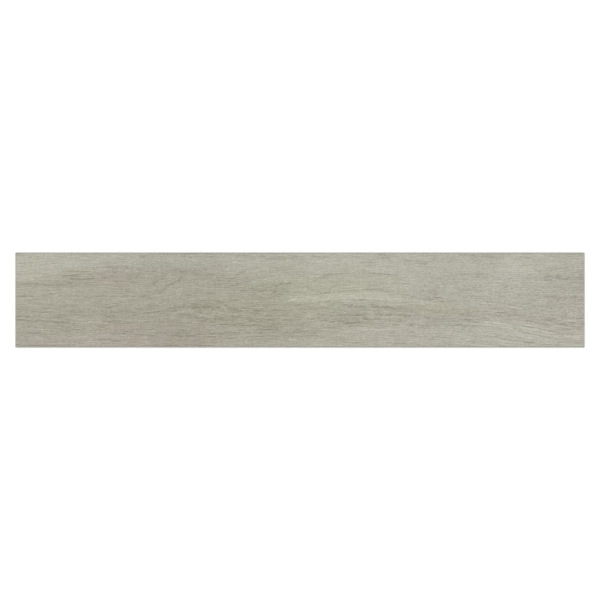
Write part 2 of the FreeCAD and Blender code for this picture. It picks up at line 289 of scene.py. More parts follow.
def ribbon_figure(x, v):
    """The third quarter: a thin line over the broad arch and a pale ribbon that runs on to the right end."""
    tone = strokes(x, v, 6.5, 11, [(425, 75), (525, 71), (600, 75), (665, 84), (700, 86)])
    tone += clouds(
        x, v, (491, 38, 6, 3, -10), (560, 57, 15, 4, -5), (586, 61, 10, 3, -6), (552, 98, 5, 5, -8),
        (552, 105, 2, 5, -8), (480, 98, 3, 3, -6), (552, 122, 10, 3, 5), (560, 15, 5, 2, -8),
        (612, 88, 10, 4, -8), (622, 95, 16, 5, -6), (605, 92, 8, 3, -8), (655, 72, 10, 3, -8),
        (643, 16.5, 6, 2, -8), (668, 13, 10, 3, -5), (464, 58, 3, 3, -7), (553, 29, 5, 2, -8),
        (452, 122, 8, 4, -6), (566, 139, 5, 4, -5), (525, 139, 14, 5, -4), (632, 99, 1.5, 3, -10),
        (580, 7.5, 6, 4, -11), (560, 19, 12, 3, -5), (557, 33.5, 9, 2.5, -11), (537, 54, 8, 2, -8),
        (617, 78, 5, 1.8, -12), (668, 86, 8, 3, -9), (475, 127.5, 11, 2.5, -8), (675, 43, 5, 1.8, -9),
        (675, 98.5, 8, 3, -11), (508, 15, 11, 2.5, 9), (470, 24, 15, 4, 5), (470, 37.5, 8, 4, 8),
        (582, 26, 9, 2.8, 14), (645, 48, 10, 2, 8), (663, 52, 7, 2, 8), (578, 85, 9, 2.5, 8),
        (545, 133, 6, 2, 8), (655, 75, 6, 3, 6), (626, 15, 7, 2, -11), (640, 11.5, 8, 2, -9),
        (572.5, 92.5, 5, 2.5, -13), (554, 99.5, 4, 2, -10), (590, 78.5, 7, 2, -11),
        (560, 110.5, 4, 1.8, -14), (460, 112, 8, 3, -9), (514, 115, 7, 2.5, -12), (532, 114, 7, 2, -9),
        (550, 142, 6, 2, -9), (582, 137, 7, 2, -8), (588, 56, 5, 2.5, -8), (462, 74, 12, 3, 7),
        (502, 62, 4, 1.3, 7), (516, 16.5, 9, 2, 7), (460, 138, 8, 4, 5), (592, 104, 12, 2, 9),
        (656, 108, 10, 1.5, 5), (674, 72, 5, 1.5, -9), (645, 118.3, 8, 1.8, -8), (655, 17, 20, 4, -4),
        (616, 15, 16, 5, -5), (460, 11.5, 8, 1.8, -8), (505, 123.5, 14, 3, -5), (506, 62, 5, 1.5, -10),
        (655, 137.5, 8, 1.8, -8), (552, 88, 8, 2, -6), (665, 62, 12, 4, -5), (508, 76, 6, 4, -6),
        (668, 5, 10, 4, -6), (576, 65.5, 12, 2, 7), (600, 133, 12, 4, -4))
    tone += strokes(
        x, v, 1.4, -33, [(533, 99), (538, 100), (543, 99.5), (549, 98.5)], [(585, 99.5), (599, 99)],
        [(517, 113), (528, 112.5), (537, 112), (549, 110)], [(550, 105.5), (562, 105.6)], (573, 587, 3.8))
    tone += strokes(
        x, v, 1.6, -25, [(562, 83.5), (567, 86), (580, 87), (590, 87), (598, 89), (607, 92)],
        [(526, 85.5), (533, 86)], [(511, 98), (520, 98.5), (531, 99)], (484, 500, 64))
    tone += strokes(
        x, v, 1.1, -24, [(627, 69.5), (635, 70.5)], [(637, 72), (643, 72.5)], (584, 593, 9),
        (470, 477, 128.5), (455, 464, 126), (497, 508, 110), [(659, 69), (668, 71.5), (673, 72)],
        [(622, 116.4), (634, 117)], (594, 609, 114.8), [(640, 20), (652, 19.8)],
        [(510, 105.4), (530, 105.3)], [(531, 104.8), (543, 104.5)], (570, 583, 98.5),
        [(446, 114.8), (457, 114.5)], [(660, 133), (674, 133.3)])
    tone += strokes(
        x, v, 1.8, -19, [(488, 34), (494, 35), (510, 34.5), (520, 33.5), (531, 33)],
        [(561, 33), (572, 34), (585, 35), (596, 36), (605, 37)], (644, 661, 75),
        [(508, 62.5), (522, 61.5), (535, 61.2), (546, 62)], [(645, 102), (652, 104), (660, 105)],
        [(508, 109.5), (531, 109)], [(543, 17), (575, 16.5)], (647, 661, 84),
        [(582, 105.5), (595, 107.5), (605, 109), (622, 109.5)], [(592, 145), (610, 144.5), (628, 145.5)],
        [(488, 119), (512, 119.5)])
    tone += strokes(
        x, v, 1.1, -17, (473, 479, 7), (493, 500, 8.5), (517, 527, 8.5), [(469, 60.5), (476, 61)],
        [(534, 57), (542, 56)], (499, 507, 83), (559, 571, 83), [(474, 104), (482, 105), (485, 107)],
        (486, 493, 108), [(566, 103), (575, 106.5), (581, 108)], [(598, 100), (608, 100), (627, 101)],
        [(606, 108), (611, 109)], [(612, 66), (620, 68), (625, 69)], (634, 645, 64), [(615, 12), (623, 13)],
        [(609, 40), (622, 40.5)], (609, 622, 49.5), (646, 652, 40.5), [(655, 60), (666, 61)],
        [(632, 115), (645, 117), (659, 117)], (632, 641, 146), [(659, 105), (673, 106.5)],
        [(546, 33), (549, 34)], [(478, 100.5), (505, 100)], [(640, 109), (665, 109.5), (678, 110)],
        [(510, 71.5), (535, 71)], (588, 611, 7), [(496, 31.5), (538, 30)], [(568, 43), (586, 43.5)],
        [(568, 75.5), (581, 76.5)], (460, 470, 104), [(643, 128.5), (662, 129), (678, 130)],
        [(452, 95), (465, 96.5)], (636, 655, 17), [(560, 10.3), (595, 10)], [(502, 73.8), (512, 73.3)],
        [(484, 78.7), (505, 78.5)], [(600, 79.5), (640, 79.8)], [(633, 89.3), (643, 89)],
        [(648, 90.8), (662, 91)], [(662, 92.6), (674, 92.2)], (625, 634, 94), [(452, 89.3), (467, 89)],
        (616, 634, 50), (616, 628, 132), [(530, 97), (546, 96.8)], (644, 657, 62), (510, 519, 47),
        (661, 674, 114.5), (596, 607, 147.6), [(621, 114.3), (631, 114.5)], [(498, 100), (509, 100.6)],
        [(590, 5), (601, 4.3)], (562, 586, 106))
    tone += strokes(
        x, v, 1.2, -12, [(452, 7), (470, 6.5), (500, 9)], [(535, 8), (549, 7)], (560, 571, 21),
        [(469, 35.5), (481, 36)], [(469, 42), (483, 41)], [(507, 42.4), (521, 43.6)],
        [(498, 48), (507, 47.5)], (519, 547, 47), (560, 571, 46), (572, 585, 48), [(456, 66.8), (483, 67.3)],
        [(545, 54.5), (556, 53), (576, 52.5)], [(534, 77), (545, 75), (560, 77), (571, 77)], (482, 495, 88),
        [(519, 84), (526, 83)], (532, 539, 92), [(466, 105), (474, 104)], [(531, 108), (546, 108.5)],
        (508, 513, 115), (525, 533, 116), (569, 583, 129), [(452, 133.5), (476, 132.5)], (534, 547, 143),
        (567, 572, 144), [(583, 144), (596, 143.5)], [(601, 37), (607, 38)], [(654, 33), (660, 34)],
        [(640, 60.5), (649, 61)], (645, 650, 67), [(663, 67), (672, 69)], [(618, 84), (646, 85)],
        [(649, 87.5), (660, 88)], [(640, 90), (649, 91)], [(660, 96), (673, 95)], [(659, 101), (664, 102)],
        (628, 632, 111), [(659, 116.5), (673, 116)], (627, 637, 132.5), (610, 621, 127),
        [(545, 59), (570, 60)], (617, 622, 124), [(484, 41), (496, 39)], (470, 476, 90), (664, 672, 133.5),
        [(534, 86), (545, 87), (557, 87)], (535, 557, 69.5), (499, 509, 70), [(505, 101), (525, 101.5)],
        (558, 569, 91), [(580, 89.5), (600, 92)], [(543, 113.8), (560, 112)], (560, 586, 114.5),
        (480, 493, 35), (545, 561, 46.5), (603, 615, 84), (550, 570, 124), (483, 500, 105), (560, 569, 107),
        [(625, 66), (636, 66.5)], (501, 513, 127), (570, 583, 74), (619, 630, 101.5), (653, 662, 121),
        (556, 568, 39), (558, 567, 35.5), (550, 560, 30), [(480, 29.7), (497, 29.3)],
        [(498, 43.3), (507, 43)], (571, 580, 53), (529, 538, 84.5), (472, 482, 84), (636, 646, 67),
        (569, 579, 147.5), [(550, 21.7), (562, 21.4)], [(488, 56.2), (499, 56)], (656, 676, 106.8),
        [(540, 76.5), (556, 76.3)], [(503, 134), (516, 133.5)])
    tone += strokes(
        x, v, 1.2, 14, [(499, 74.5), (509, 75)], [(482, 77), (495, 76.5)], (455, 471, 98), (455, 471, 102),
        (558, 584, 124), (545, 601, 122), (572, 584, 75), (651, 660, 86), (651, 660, 89.5), (609, 623, 48),
        (609, 621, 128.5), (647, 660, 127), (558, 584, 127.6), [(516, 54.5), (546, 54)],
        [(473, 7.2), (487, 7)], [(592, 31), (609, 31.5)], [(522, 57.5), (545, 57.8), (577, 57)],
        [(498, 92.5), (518, 92)], (511, 526, 97), [(596, 124), (626, 125.5)],
        [(452, 138), (475, 138.5), (498, 137.5)], (609, 621, 42), (590, 602, 143), (660, 678, 132.5),
        (553, 566, 67), (460, 472, 8.5), (538, 549, 6.5), [(463, 39), (481, 39.5)], (484, 500, 73.5),
        [(580, 112), (592, 111.5)], (577, 594, 120.5), [(470, 147), (486, 146.8)], (654, 667, 127.5),
        [(503, 131.7), (514, 131.3)], [(604, 96), (617, 96.5)], [(620, 97.8), (634, 98)], (519, 531, 32),
        [(474, 54.3), (482, 54)], (629, 641, 68.5), (610, 622, 38.5))
    return tone


def knotted_figure(x, v):
    """The right quarter: two small knots near the end, and fine stripes that slope down to the near edge."""
    tone = clouds(
        x, v, (859, 38.5, 3.5, 3.5, -28), (856, 22, 5, 3, -6), (812, 42.5, 4, 2, -10), (730, 10, 7, 4, -9),
        (740, 36, 12, 4, -5), (716, 98, 9, 4, -7), (690, 59, 6, 4, 6), (686, 114, 3, 2, -8),
        (810, 72, 1.2, 3, -12), (868, 93, 1.5, 3, -8), (840, 87, 20, 4, -4), (815, 104, 12, 3, -5),
        (800, 24, 34, 10, 4), (860, 57, 20, 5, -3), (746, 4.5, 12, 2.5, -13), (767, 7, 8, 4, -8),
        (838, 6, 5, 2, -8), (702, 41, 3, 2, -8), (729, 91, 5, 1.8, -11), (735, 91, 9, 3, -5),
        (776, 83.5, 4, 1.8, -10), (829, 95, 5, 2, -9), (896, 93.5, 5, 3, -9), (802, 106, 6, 1.8, -9),
        (848, 111, 4, 1.5, -9), (896, 114, 6, 2, -14), (804, 130.5, 5, 1.8, -9), (852, 147, 16, 2, -9),
        (885, 33, 12, 3, -6), (735, 146, 25, 3, 9), (705, 143, 12, 3, 7), (810, 65, 9, 3, 9),
        (868, 19, 9, 2.5, 8), (835, 18.5, 16, 2, 7), (786, 125, 5, 2, 7), (852, 62, 8, 2, 6),
        (846, 41, 4, 1.3, 8), (873, 40, 8, 2.5, -11), (865, 42.5, 4, 1.5, 8), (749, 10, 6, 2.5, -10),
        (853, 21, 6, 2, 9), (897, 46.5, 5, 1.5, -9), (797, 53.5, 5, 2.5, 8), (692, 46, 5, 2, 8),
        (697, 69.5, 6, 1.8, 8), (830, 80.3, 6, 1.8, 11), (892, 110, 6, 1.6, 8), (716, 116, 16, 4, -4),
        (805, 113.5, 6, 1.5, 7), (822, 111.5, 4, 2, -9), (899, 114, 3, 1.5, -12), (728, 71.5, 8, 3, -8),
        (844, 34.5, 8, 2, -8), (894, 71.5, 7, 3, -8), (750, 145, 4, 2, 8), (899, 108, 3, 2, -8),
        (695, 9, 5, 3, -7), (740, 68.5, 4, 1.5, -9), (898, 34, 5, 2.5, -8), (899, 124, 4, 2, -8),
        (846, 87, 5, 3.5, -7), (728, 89, 9, 1.6, 7), (692, 97.5, 8, 2, -7), (690, 55, 6, 2, -7),
        (899, 18, 4, 3, -7), (843, 40.2, 4, 1.2, -8))
    tone += strokes(
        x, v, 1.4, -27, [(836, 41), (840, 38.8), (845, 38), (849, 38.6), (853, 40.6)],
        [(838, 43.4), (843, 43.8), (849, 43.3)])
    tone += strokes(x, v, 1.4, -16, [(800, 116.2), (810, 118), (823, 119.6)], [(829, 111), (836, 111.2)])
    tone += strokes(
        x, v, 1.3, -27, [(711, 106), (720, 107), (725, 108)], [(865, 116), (875, 116.5)],
        [(756, 97), (765, 95.8), (781, 96.8)], [(773, 100.5), (800, 100)], [(788, 140), (800, 141)],
        [(800, 141), (810, 142.8), (823, 143.2)], [(856, 113.2), (863, 113.4), (873, 112.8)],
        [(834, 70.6), (846, 69.8), (858, 69.8)], [(695, 115), (708, 114.8)], (804, 820, 2.4),
        (755, 770, 100.6), [(882, 118.5), (900, 118.8)], [(838, 107.9), (850, 108.2)])
    tone += strokes(
        x, v, 1.1, -23, [(690, 109), (702, 110)], (704, 710, 98.5), (747, 755, 98.5), (723, 729, 5),
        [(830, 30), (835, 30.5)], (722, 728, 143), [(702, 35), (711, 35.5)],
        [(846, 104.5), (852, 105), (857, 107)], [(673, 78), (679, 78.5)],
        [(838, 71.5), (848, 74), (858, 75.5), (865, 74.5)], (715, 731, 87.5), [(722, 110.5), (738, 110.2)],
        [(722, 116.8), (738, 116.3)], (773, 783, 32.3), (703, 723, 116), (838, 849, 116.4),
        [(807, 108), (822, 108.8)], (718, 731, 52.8))
    tone += strokes(
        x, v, 1.1, -17, [(732, 73), (737, 73.5), (745, 77), (753, 79)], [(722, 39), (734, 40)],
        (671, 675, 57), [(733, 60), (739, 62.5)], (709, 717, 72), (728, 736, 94), (716, 723, 100),
        [(680, 116.5), (698, 117)], (730, 738, 106.8), (704, 711, 122.5), (695, 698, 126),
        [(703, 137), (713, 136)], (723, 731, 137), (807, 817, 9.5), [(836, 6), (850, 7), (863, 6.5)],
        [(861, 38), (866, 38.5)], [(875, 40), (881, 40.5)], (759, 764, 48), (773, 779, 55),
        [(793, 67), (800, 67.5)], [(778, 83), (791, 84.5)], [(774, 106.7), (791, 106.5)],
        [(875, 111), (887, 111.5)], [(868, 121.2), (881, 122.2)], (887, 900, 105), (892, 900, 60.5),
        (890, 900, 41.5), [(799, 125.5), (810, 128.5), (820, 130)],
        [(820, 130), (830, 132.5), (840, 134), (850, 136.2), (862, 138)], [(839, 123), (855, 125.8)],
        [(884, 144.2), (900, 144.5)], (860, 876, 43), (700, 720, 108), [(716, 111), (727, 111.5)],
        [(750, 89), (773, 89.5)], [(762, 100.5), (776, 102.5)], [(856, 102), (872, 102.5)],
        [(880, 70), (893, 70.5)], [(748, 65.3), (758, 65.5)], (764, 778, 70), (760, 772, 16.6),
        (836, 880, 26), (727, 737, 63), (754, 790, 3.6), [(860, 3.2), (900, 3.8)], (862, 875, 121),
        (706, 717, 118.4), (896, 900, 43.3), (896, 900, 113), (896, 900, 124), (798, 812, 100),
        (714, 729, 5.3), [(738, 5.5), (754, 5.3)])
    tone += strokes(
        x, v, 1.2, -12, (683, 698, 43), (686, 698, 48), (700, 713, 60), [(686, 65), (693, 64)],
        (719, 727, 69), (680, 693, 78), [(686, 92), (701, 91)], [(672, 106.2), (698, 106.5)],
        (672, 690, 110), (722, 730, 56), [(750, 8), (761, 8.5)], (751, 759, 18), (782, 791, 58),
        (810, 816, 59), (803, 808, 46), (836, 842, 67), [(864, 73), (889, 71.5)], [(836, 104), (846, 104.5)],
        [(849, 109), (856, 112)], [(770, 137), (788, 140)], [(738, 98.2), (747, 98.5)],
        [(738, 105), (752, 104.8)], [(738, 108), (760, 109.2)], [(738, 133.5), (770, 134)],
        [(869, 130), (890, 130.3)], [(868, 103.6), (887, 104.6)], (892, 900, 35.5), (892, 900, 53),
        (776, 784, 112), [(782, 122.5), (790, 124)], (857, 868, 121), (776, 786, 135),
        [(738, 117), (752, 117.5)], [(810, 102.5), (822, 102.3)], (672, 691, 135), [(876, 48), (890, 49)],
        [(790, 132.5), (802, 136.2)], [(870, 138.8), (900, 140)], [(875, 113.4), (889, 113)],
        [(704, 61.5), (722, 63)], (699, 708, 65.5), (808, 821, 31.5), [(825, 34), (846, 35.5)],
        [(850, 127), (885, 127.5)], (744, 754, 75), (780, 796, 96.5), [(755, 135), (772, 137)],
        (700, 716, 5), (888, 900, 43), (820, 831, 127), (745, 757, 111.5), [(758, 81.3), (778, 82)],
        [(738, 94), (756, 94.8)], [(712, 59), (723, 58.8)], (801, 814, 110.5), [(744, 34.7), (755, 34.5)],
        (704, 716, 45), (805, 826, 26), [(757, 118.2), (782, 117.5)], (816, 826, 130.3),
        [(872, 116.8), (884, 117.3)], (853, 866, 147.3), [(779, 88.3), (787, 88)], (773, 783, 48),
        [(681, 87), (697, 86.7)], [(730, 52.7), (745, 52.5)], (843, 852, 100), [(882, 107.8), (893, 107.5)],
        [(757, 9), (772, 8.8)], [(695, 48.3), (707, 48)], (694, 706, 74.8))
    tone += strokes(
        x, v, 1.2, 17, [(736, 110), (750, 110.2), (760, 111.5), (770, 113), (780, 115), (790, 117.5)],
        [(790, 117.5), (800, 119.2), (810, 121), (820, 122.5), (832, 124)],
        [(832, 125), (840, 127), (852, 129)], [(738, 100.2), (757, 102), (765, 102.2)],
        [(864, 108), (892, 109.2)], (864, 876, 119), [(868, 133), (894, 134.7)], [(872, 138), (896, 138.2)],
        [(756, 137.5), (770, 140.2), (780, 141.8), (802, 144)], (685, 698, 53.5), [(885, 36.7), (892, 37)],
        [(818, 99), (832, 99.5)], (718, 734, 54), [(868, 104.7), (880, 104.5)], (840, 853, 136.5),
        (832, 845, 140), (742, 758, 130), (832, 841, 126), (886, 896, 117.3))
    tone += strokes(
        x, v, 1.2, 11, [(738, 114.5), (750, 115), (760, 116.2), (770, 118.2), (780, 120), (790, 120.8)],
        [(790, 120.8), (800, 122.8), (810, 125.2), (820, 127.2), (830, 129.8), (840, 131.8), (862, 135.2)],
        [(788, 125.8), (800, 128.8), (810, 130.8), (820, 132.5), (830, 135.5), (862, 140)],
        [(788, 130.2), (800, 132), (810, 135.2), (822, 136)],
        [(762, 81), (775, 83.5), (785, 87), (798, 89.5)], [(845, 102.3), (856, 102.8)],
        [(876, 101.3), (895, 101.8)], [(808, 115), (822, 116.8)], [(678, 124), (692, 124.2)], (740, 756, 81),
        (710, 723, 43), (735, 746, 46), (790, 801, 48), (779, 788, 22), (844, 856, 4), (783, 793, 11.5),
        (806, 814, 61), (740, 754, 121), [(808, 117), (817, 117.3)])
    return tone


def shading(x, v):
    """The slow change of tone over the board: dark left of the middle, pale towards the right end, and half a
    step paler all over."""
    all_over = 0.5
    return all_over + clouds(
        x, v, (300, 106, 190, 40, -12), (215, 50, 130, 28, -7), (60, 120, 110, 60, -5),
        (640, 15, 250, 32, 7), (560, 52, 120, 24, 6), (850, 138, 160, 30, 8), (570, 140, 90, 20, 5),
        (790, 18, 80, 26, 6), (485, 18, 35, 18, 4), (700, 14, 55, 16, -4), (412, 134, 32, 16, -4),
        (385, 56, 75, 18, -5), (788, 58, 40, 16, 5), (675, 95, 70, 14, -3), (680, 134, 140, 18, 3),
        (262, 134, 40, 14, -2), (262, 12, 40, 14, -3.5), (765, 93, 70, 11, 2.8), (412, 56, 30, 16, -2),
        (490, 140, 35, 14, 3), (20, 42, 35, 14, 2.5), (150, 134, 60, 10, 2))


def stain(x, v, y):
    """Red, green and blue factors of the slow change of hue: soft patches of blush brown, olive and purple, a
    green cast along the far edge and over the arch, and a greyer right end."""
    blush = clouds(
        x, v, (200, 85, 230, 45, 0.3), (28, 53, 30, 4, 1.2), (72, 52, 9, 4, 2.0), (24, 95, 28, 5, 1.6),
        (60, 143, 75, 9, 2.4), (178, 142, 60, 9, 2.4), (268, 142, 45, 9, 2.2), (320, 141, 14, 7, 1),
        (151, 42, 32, 14, 2.5), (525, 60, 65, 15, -0.5), (146, 118, 22, 11, 2.3), (190, 121, 20, 12, 2.0),
        (242, 120, 15, 12, 1.8), (293, 119, 15, 12, 2.0), (268, 83, 14, 4, 0.8), (417, 141, 10, 6, 1),
        (488, 104, 9, 5, 1.4), (522, 109, 16, 8, 1.7), (598, 104, 22, 5, 1.3), (590, 140, 80, 8, 0.4),
        (745, 103, 60, 8, 0.8), (700, 128, 14, 6, 0.7), (831, 114, 24, 7, 1), (877, 115, 18, 7, 1.2),
        (869, 134, 32, 11, 0.8))
    olive = clouds(
        x, v, (180, 78, 190, 40, 0.6), (440, 80, 140, 48, 0.8), (40, 28, 40, 22, 0.3),
        (68, 104, 46, 24, 0.5), (182, 101, 55, 18, 0.3), (318, 89, 45, 14, 0.7), (385, 108, 90, 28, 0.9),
        (420, 51, 75, 18, 0.7), (537, 59, 85, 32, 0.8), (672, 88, 50, 9, 1.9), (785, 89, 38, 8, 0.8),
        (868, 81, 42, 18, 0.5), (480, 141, 36, 8, 0.6))
    purple = clouds(
        x, v, (772, 38, 8, 6, 0.5), (797, 43, 11, 3.5, 2.2), (851, 43, 13, 4, 2.0), (66, 18, 12, 14, 0.4),
        (815, 134, 30, 3, 1.2), (695, 133, 12, 2, 0.9), (45, 147, 50, 3, 1.2))
    over_arch = np.exp(-((x - 0.04) / 0.12) ** 2 - ((y - 0.030) / 0.030) ** 2)
    green = np.maximum(ease((y - 0.046) / 0.018), over_arch)
    grey = ease((x - 0.08) / 0.22)
    return np.stack([1 + 0.004 * blush - 0.002 * green,
                     1 - 0.019 * blush + 0.008 * green - 0.004 * purple,
                     1 - 0.014 * blush - 0.038 * olive + 0.020 * grey + 0.030 * purple,
                     np.ones_like(x)], axis=-1)


# THE PRESSED TILE
# One piece of porcelain, pressed from clay powder between two steel dies and fired. The upper die leaves a
# grained face with rounded edges, the mould's frame upright walls with a drawn-in foot, and the lower die a
# honeycomb of shallow cells that grips the adhesive.
cushion = 0.0008
face_x = length / 2 - cushion
face_y = width / 2 - cushion
face_corner = 0.0002
tile_name = "printed_tile"


def hills(x, v, long, broad, seed):
    """Smooth random hills from -1 to 1. A seeded table holds one height for each cell of long by broad. The
    cells of each row are set on by 0.37 of a cell, and the four nearest heights are blended by ease."""
    size = 256
    set_on = 0.37
    heights = np.random.default_rng(seed).uniform(-1, 1, (size, size))
    b = v / broad
    a = x / long + set_on * b
    i = np.floor(a).astype(int)
    j = np.floor(b).astype(int)
    s = ease(a - i)
    t = ease(b - j)
    near, far = [heights[row % size, i % size] * (1 - s) + heights[row % size, (i + 1) % size] * s
                 for row in (j, j + 1)]
    return near * (1 - t) + far * t


def groove_depth(x, v, drawn):
    """Depth of the pressed grain below the face, in metres: slow waves, fibres and fine lines added up, with
    the drawn dark streaks pressed deeper, and held between 0.005 and 0.32 mm."""
    waves = hills(x, v, 0.170, 0.0120, 11)
    fibres = hills(x, v, 0.075, 0.0029, 12)
    lines = hills(x, v, 0.034, 0.0015, 13)
    streaks = np.clip(-drawn, -4, 16)
    depth = 0.100 + 0.050 * waves + 0.065 * fibres + 0.040 * lines + 0.006 * streaks
    return np.clip(depth, 0.005, 0.32) / 1000


# The face is a grid whose rows follow the grain: y = s + fade * bend(x, y), solved by repeating it, with the
# fade, 1 - (|s| / half width)^2.5, letting the outer rows run straight. Its corner squares are turned into
# quarter discs by (a, b) -> (a sqrt(1 - b^2/2), b sqrt(1 - a^2/2)).
inner_x = face_x - face_corner
inner_y = face_y - face_corner
columns = 237
rows = 247
repeats = 14


def grid_lines(outer, inner, count):
    """Where the grid's lines lie: even ones inside, and two more on each side, over the corner square."""
    halfway = outer - face_corner / 2
    return np.concatenate([[-outer, -halfway], np.linspace(-inner, inner, count), [halfway, outer]])


grid_x, start_y = np.meshgrid(grid_lines(face_x, inner_x, columns), grid_lines(face_y, inner_y, rows))
fade = 1 - np.clip(np.abs(start_y) / inner_y, 0, 1) ** 2.5
grid_y = start_y.copy()
for _ in range(repeats):
    grid_y = start_y + fade * bend(grid_x, grid_y)
part_a = np.clip((np.abs(grid_x) - inner_x) / face_corner, 0, 1)
part_b = np.clip((np.abs(grid_y) - inner_y) / face_corner, 0, 1)
in_corner = (part_a > 0) & (part_b > 0)
disc_x = np.sign(grid_x) * (inner_x + face_corner * part_a * np.sqrt(1 - part_b ** 2 / 2))
disc_y = np.sign(grid_y) * (inner_y + face_corner * part_b * np.sqrt(1 - part_a ** 2 / 2))
grid_x = np.where(in_corner, disc_x, grid_x)
grid_y = np.where(in_corner, disc_y, grid_y)

# The rim is a profile carried round the edge of the face. Each ring lies a distance out from the face's edge,
# q + n (corner + out), where q is the nearest point of the inner rectangle and n points from it to the edge.
# The first rings turn the rounded edge, radius sin(turn) out and radius (1 - cos(turn)) down, and the grooves
# fade out on them as cos(turn)^2. Then come the wall, the drawn-in foot and a step of the underside.
number = np.arange(grid_x.size).reshape(grid_x.shape)
edge = np.concatenate([number[0, :-1], number[:-1, -1], number[-1, :0:-1], number[:0:-1, 0]])
edge_point = np.stack([grid_x.ravel()[edge], grid_y.ravel()[edge]], axis=1)
nearest = np.clip(edge_point, [-inner_x, -inner_y], [inner_x, inner_y])
outward = edge_point - nearest
outward /= np.linalg.norm(outward, axis=1, keepdims=True)
turn = np.radians(np.arange(15, 91, 15))
side_out = np.array([0.80, 0.80, 0.80, 0.74, 0.14, 0.00, -0.12, -0.12]) / 1000
side_up = np.array([6.60, 4.40, 2.25, 1.85, 0.35, 0.07, 0.00, 0.00]) / 1000
ring_out = np.concatenate([cushion * np.sin(turn), side_out])
ring_up = np.concatenate([thickness - cushion * (1 - np.cos(turn)), side_up])
ring_share = np.concatenate([np.cos(turn) ** 2, np.zeros(len(side_out))])
ring_xy = nearest + outward * (face_corner + ring_out[:, None, None])
underside_step = 0.0006
ring_xy[-1] *= 1 - underside_step / np.array([face_x, face_y])

# A cell of the back is rings of twelve points, two on each side of a hexagon: the side's normal times the
# half breadth, plus and minus the side's direction times (half breadth * tan 30 - 1 mm). The cells stand in
# five rows on a triangular pitch, as in the CAD model.
pitch = 0.028
half_cell = 0.012
corner_cut = 0.001
cell_inset = np.array([-0.30, 0.00, 0.42, 0.90]) / 1000
cell_up = np.array([0.00, 0.03, 0.76, 0.80]) / 1000
side = np.radians(np.repeat(np.arange(0, 360, 60), 2))
end = np.tile([-1, 1], 6)
half = half_cell - cell_inset[:, None]
reach = half * math.tan(math.radians(30)) - corner_cut
ring_cell = np.stack([half * np.cos(side) - end * reach * np.sin(side),
                      half * np.sin(side) + end * reach * np.cos(side)], axis=-1)
in_row = np.array([31, 30, 31, 30, 31])
row_of = np.repeat(np.arange(len(in_row)), in_row)
place_in_row = np.concatenate([np.arange(count) for count in in_row])
centre = np.stack([(place_in_row - (in_row[row_of] - 1) / 2) * pitch,
                   (row_of - 2) * pitch * math.sqrt(3) / 2], axis=1)
cell_xy = centre[:, None, None, :] + ring_cell[None]
cell_z = np.broadcast_to(cell_up[None, :, None], cell_xy.shape[:3])

# All points in one list: the face, the rings of the rim, the cells.
rim_start = grid_x.size
cell_start = rim_start + ring_xy.shape[0] * len(edge)
flat_xy = np.concatenate([np.stack([grid_x.ravel(), grid_y.ravel()], axis=1),
                          ring_xy.reshape(-1, 2), cell_xy.reshape(-1, 2)])
x, y = flat_xy.T
v = across(x, y)
drawn = left_figure(x, v) + feathered_figure(x, v) + ribbon_figure(x, v) + knotted_figure(x, v)
depth = groove_depth(x, v, drawn)
share = np.concatenate([np.ones(rim_start), np.repeat(ring_share, len(edge))])
z = np.concatenate([np.full(rim_start, thickness), np.repeat(ring_up, len(edge)), cell_z.ravel()])
z[:cell_start] -= depth[:cell_start] * share


def strips(rings):
    """Quads between closed rings of point numbers: this point, the one below it, and their neighbours."""
    this, below = rings[..., :-1, :], rings[..., 1:, :]
    quads = np.stack([this, below, np.roll(below, -1, axis=-1), np.roll(this, -1, axis=-1)], axis=-1)
    return quads.reshape(-1, 4)


face_quads = np.stack([number[:-1, :-1], number[:-1, 1:], number[1:, 1:], number[1:, :-1]], axis=-1)
face_quads = face_quads.reshape(-1, 4)
rim_rings = np.concatenate([edge, np.arange(rim_start, cell_start)]).reshape(-1, len(edge))
rim_quads = strips(rim_rings)
cell_rings = cell_start + np.arange(cell_z.size).reshape(cell_z.shape)
cell_quads = strips(cell_rings)
cell_floors = cell_rings[:, -1, ::-1]

# The ribs between the cells are one flat net: the foot's outline with the cells' mouths cut out of it, filled
# with triangles. A triangle is dropped where its middle lies inside a mouth, that is, where its greatest
# distance along the six side normals from the nearest cell's centre is under the mouth's half breadth.
loops = [rim_rings[-1]] + list(cell_rings[:, 0, :])
net_points = np.concatenate(loops)
loop_start = np.cumsum([0] + [len(loop) for loop in loops[:-1]])
steps = [np.arange(len(loop)) for loop in loops]
net_edges = np.concatenate([np.stack([start + step, start + np.roll(step, -1)], axis=1)
                            for start, step in zip(loop_start, steps)])
fill_inside = 1
nearness = 1e-7
filled = delaunay_2d_cdt(flat_xy[net_points].tolist(), net_edges.tolist(), [], fill_inside, nearness)
net_triangles = net_points[np.array([first[0] for first in filled[3]])][np.array(filled[2])]
middle = flat_xy[net_triangles].mean(axis=1)
from_cell = middle[:, None, :] - centre[None]
normals = np.stack([np.cos(side[::2]), np.sin(side[::2])], axis=1)
mouth_half = 0.0122
in_mouth = (from_cell @ normals.T).max(axis=-1).min(axis=1) < mouth_half
net_triangles = net_triangles[~in_mouth][:, ::-1]

